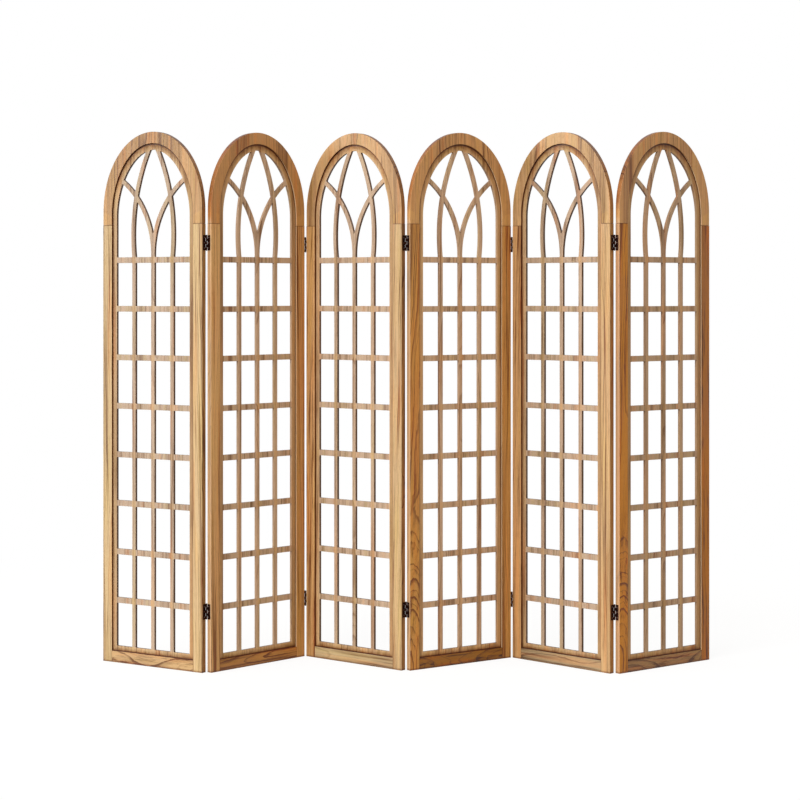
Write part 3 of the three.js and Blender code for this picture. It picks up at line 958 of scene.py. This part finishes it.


# What stands out in the boards: two bold flat-sawn stiles, rails darker than the stiles, and
# boards set lighter or darker one by one
BOARDS = {
    ("left_stile", 1): {"gain": 0.96, "warm": -0.18},
    ("left_stile", 2): {"gain": 1.24},
    ("left_stile", 3): {"gain": 1.05, "warm": 0.07},
    ("left_stile", 4): {"heart": (0.204, 0.115), "slope": (-0.06, 0), "swell": (0.02, 0.5, -0.07),
                        "figure": 1.05, "ring": 0.0052, "wander": 0.03, "warm": 0.12,
                        "gain": 0.95, "light": rgb(227, 174, 106), "dark": rgb(126, 80, 35)},
    ("left_stile", 5): {"gain": 0.92, "warm": 0.08},
    ("left_stile", 6): {"heart": (0.2, 0.12), "slope": (-0.05, 0), "swell": (0.04, 0.46, -0.072),
                        "figure": 1.05, "ring": 0.0056, "wander": 0.03, "gain": 0.88,
                        "warm": 0.27, "dark": rgb(126, 80, 38)},
    ("right_stile", 1): {"gain": 1.02, "warm": -0.18},
    ("right_stile", 2): {"gain": 1.04, "warm": 0.05},
    ("right_stile", 3): {"gain": 0.92, "warm": -0.14},
    ("right_stile", 4): {"gain": 0.93, "warm": 0.07, "light": rgb(227, 175, 109)},
    ("right_stile", 5): {"gain": 0.95, "warm": -0.07},
    ("right_stile", 6): {"light": rgb(220, 154, 73), "dark": rgb(78, 38, 9), "gain": 0.61,
                         "warm": 0.18, "figure": 0.8, "grain": 1.9},
    ("bottom_rail", 1): {"heart": (0.01, 0.07), "swell": (0.02, 0.2, 0.018), "figure": 0.8,
                         "wander": 0.03, "gain": 0.9, "warm": -0.05},
    ("bottom_rail", 2): {"gain": 0.82, "warm": 0.18},
    ("bottom_rail", 3): {"gain": 0.95, "warm": -0.26, "figure": 0.35, "grain": 0.7},
    ("bottom_rail", 4): {"heart": (0.0, 0.07), "swell": (0.03, 0.2, 0.018), "figure": 0.6,
                         "wander": 0.03, "ring": 0.005, "gain": 0.45, "warm": 0.24,
                         "light": rgb(229, 174, 84), "dark": rgb(110, 64, 17)},
    ("bottom_rail", 5): {"gain": 0.63, "warm": -0.2},
    ("bottom_rail", 6): {"heart": (0.0, 0.07), "swell": (-0.05, 0.2, 0.018), "figure": 0.8,
                         "wander": 0.03, "ring": 0.005, "gain": 0.49, "warm": -0.01},
    ("arch_head", 2): {"gain": 0.94, "warm": 0.04},
    ("arch_head", 4): {"gain": 1.0},
    ("lattice", 2): {"gain": 1.34, "warm": -0.06},
    ("lattice", 3): {"gain": 1.12},
    ("lattice", 4): {"gain": 1.3, "warm": -0.06},
}

head_mesh = arch_head_mesh()
board_mesh = lattice_mesh()

for index, matrix in enumerate(PLACES):
    label = index + 1
    body = f"panel_{label}"
    for part in ("left_stile", "right_stile", "bottom_rail"):
        material = board_material(f"{part}_{label}", index, along_x=part == "bottom_rail",
                                  **BOARDS[part, label])
        dress_node(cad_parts[f"{body}_{part}"], material)
    options = {"gain": 0.91, "figure": 0.6, "grain": 0.55, "glued": random.uniform(0, 90),
               **BOARDS.get(("arch_head", label), {})}
    material = board_material(f"arch_head_{label}", index, in_panel=True, **options)
    add_piece(f"arch_head_{label}", head_mesh, material, matrix, body,
              f"{body}_arch_head")
    options = {"figure": 0.5, "grain": 0.85, "gloss": 0.3, "finish": lattice_stain_and_painted_shade,
               **BOARDS.get(("lattice", label), {})}
    material = board_material(f"lattice_{label}", index, LATTICE_LIGHT, LATTICE_DARK,
                              in_panel=True, **options)
    add_piece(f"lattice_{label}", board_mesh, material, matrix, body,
              f"{body}_lattice")

metal = metal_material("dark_bronze", rgb(44, 17, 12), rgb(76, 36, 26), rgb(140, 100, 82))
screw_metal = metal_material("rubbed_bronze", rgb(120, 88, 76), rgb(176, 146, 130),
                             rgb(214, 190, 176))
leaves = {(side, outer): leaf_mesh(side, outer)
          for side, outer in ((-1, True), (1, False), (1, True), (-1, False))}
pin = pin_mesh()

for fold in range(len(PLACES) - 1):
    front = points_to_front(fold)
    half_turn = Matrix.Rotation(0 if front else math.pi, 4, "Z")
    for label, height in HINGE_HEIGHTS.items():
        name = f"{fold + 1}{fold + 2}_{label}"
        for word, panel, axis_side in (("left", fold, 1), ("right", fold + 1, -1)):
            side = -axis_side if front else axis_side
            spot = fold_axis(fold, axis_side) + Vector((0, 0, height))
            at = PLACES[panel] @ Matrix.Translation(spot * MM) @ half_turn
            # A leaf is drawn facing -y, and stands on its panel's edge
            stand = at @ Matrix.Rotation(-side * math.pi / 2, 4, "Z")
            body = f"panel_{panel + 1}"
            add_piece(f"leaf_{name}_{word}", leaves[side, word == "left"], metal, stand, body,
                      f"hinge_{name}_{word}_leaf")
            add_piece(f"screws_{name}_{word}", screws_mesh(side), screw_metal, stand, body)
            if word == "left":
                add_piece(f"pin_{name}", pin, metal, at, body, f"hinge_{name}_pin")


# ---- Floor, light and camera ----

WHITE = (1, 1, 1, 1)
FLOOR_HALF = 30                         # metres
FLOOR_FADE = (1.3, 3.0)                 # where the floor turns white, in metres from the screen
FLOOR_BOUNCE = (0.36, 0.35, 0.33, 1)    # the floor's colour to the light that bounces off it
FLOOR_SHADE = (0.16, 0.16, 0.16, 1)     # and to the viewer, under its glow
FLOOR_GLOW = 0.88
WORLD_STRENGTH = 0.52
WORLD_TINT = (1, 0.95, 0.88, 1)
SENSOR_WIDTH = 36                       # millimetres
LENS_PIXELS = 2007.3                    # focal length in the photo's pixels
HORIZON_ROW = 290.87
PICTURE = 800                           # the photo's side in pixels
CAMERA_FROM_PANEL = (0.78819, -6.3769)  # metres, from the first panel's foot
CAMERA_HEIGHT = 1.19424


def seen(n):
    """1 for the rays that show a thing to the viewer, 0 for those that only carry light."""
    path = n.add("ShaderNodeLightPath").outputs
    mirrored_rays = n.math("MAXIMUM", path["Is Glossy Ray"], path["Is Transmission Ray"])
    return n.math("MAXIMUM", path["Is Camera Ray"], mirrored_rays)


def make_floor():
    corners = [(x * FLOOR_HALF, y * FLOOR_HALF, 0) for x, y in ((-1, -1), (1, -1), (1, 1), (-1, 1))]
    mesh = bpy.data.meshes.new("floor")
    mesh.from_pydata(corners, [], [(0, 1, 2, 3)])
    floor = bpy.data.objects.new("floor", mesh)
    bpy.context.scene.collection.objects.link(floor)
    material, n = new_material("floor")
    plain = n.add("ShaderNodeBsdfDiffuse", {"Color": FLOOR_BOUNCE}).outputs[0]
    shaded = n.add("ShaderNodeBsdfDiffuse", {"Color": FLOOR_SHADE}).outputs[0]
    glow = n.add("ShaderNodeEmission", {"Color": WHITE, "Strength": FLOOR_GLOW}).outputs[0]
    near = n.add("ShaderNodeAddShader", {0: shaded, 1: glow}).outputs[0]
    # Far from the screen the floor turns into the backdrop's white
    white = n.add("ShaderNodeEmission", {"Color": WHITE, "Strength": 1}).outputs[0]
    away = n.band(n.length(n.add("ShaderNodeTexCoord").outputs["Object"]), *FLOOR_FADE)
    bright = n.add("ShaderNodeMixShader", {0: away, 1: near, 2: white}).outputs[0]
    mixed = n.add("ShaderNodeMixShader", {0: seen(n), 1: plain, 2: bright}).outputs[0]
    n.add("ShaderNodeOutputMaterial", {"Surface": mixed})
    mesh.materials.append(material)


def make_world():
    """White to the viewer, and a weaker warm light to the screen."""
    world = bpy.data.worlds.new("studio")
    bpy.context.scene.world = world
    world.use_nodes = True
    world.node_tree.nodes.clear()
    n = Nodes(world.node_tree)
    shown = seen(n)
    level = n.plus(n.times(shown, 1 - WORLD_STRENGTH), WORLD_STRENGTH)
    tint = n.mix(shown, WORLD_TINT, WHITE)
    background = n.add("ShaderNodeBackground", {"Color": tint, "Strength": level})
    n.add("ShaderNodeOutputWorld", {"Surface": background.outputs[0]})


def sun(name, azimuth, elevation, strength, spread):
    """A lamp from the left (negative azimuth) or right of the viewer, in degrees."""
    lamp = bpy.data.lights.new(name, "SUN")
    lamp.energy = strength
    lamp.angle = math.radians(spread)
    ob = bpy.data.objects.new(name, lamp)
    bpy.context.scene.collection.objects.link(ob)
    a, e = math.radians(azimuth), math.radians(elevation)
    back = Vector((math.sin(a) * math.cos(e), -math.cos(a) * math.cos(e), math.sin(e)))
    ob.rotation_euler = (-back).to_track_quat("-Z", "Y").to_euler()


make_floor()
make_world()
sun("key", azimuth=-34, elevation=36, strength=1.5, spread=36)
sun("window", azimuth=-78, elevation=12, strength=0.9, spread=22)

camera = bpy.data.objects.new("camera", bpy.data.cameras.new("camera"))
bpy.context.scene.collection.objects.link(camera)
bpy.context.scene.camera = camera
foot = PLACES[0].translation
camera.location = (foot.x + CAMERA_FROM_PANEL[0], foot.y + CAMERA_FROM_PANEL[1], CAMERA_HEIGHT)
camera.rotation_euler = (math.pi / 2, 0, 0)
camera.data.sensor_width = SENSOR_WIDTH
camera.data.lens = LENS_PIXELS / PICTURE * SENSOR_WIDTH
camera.data.shift_y = (HORIZON_ROW - PICTURE / 2) / PICTURE
camera.data.clip_end = 100

bpy.context.scene.view_settings.view_transform = "Standard"
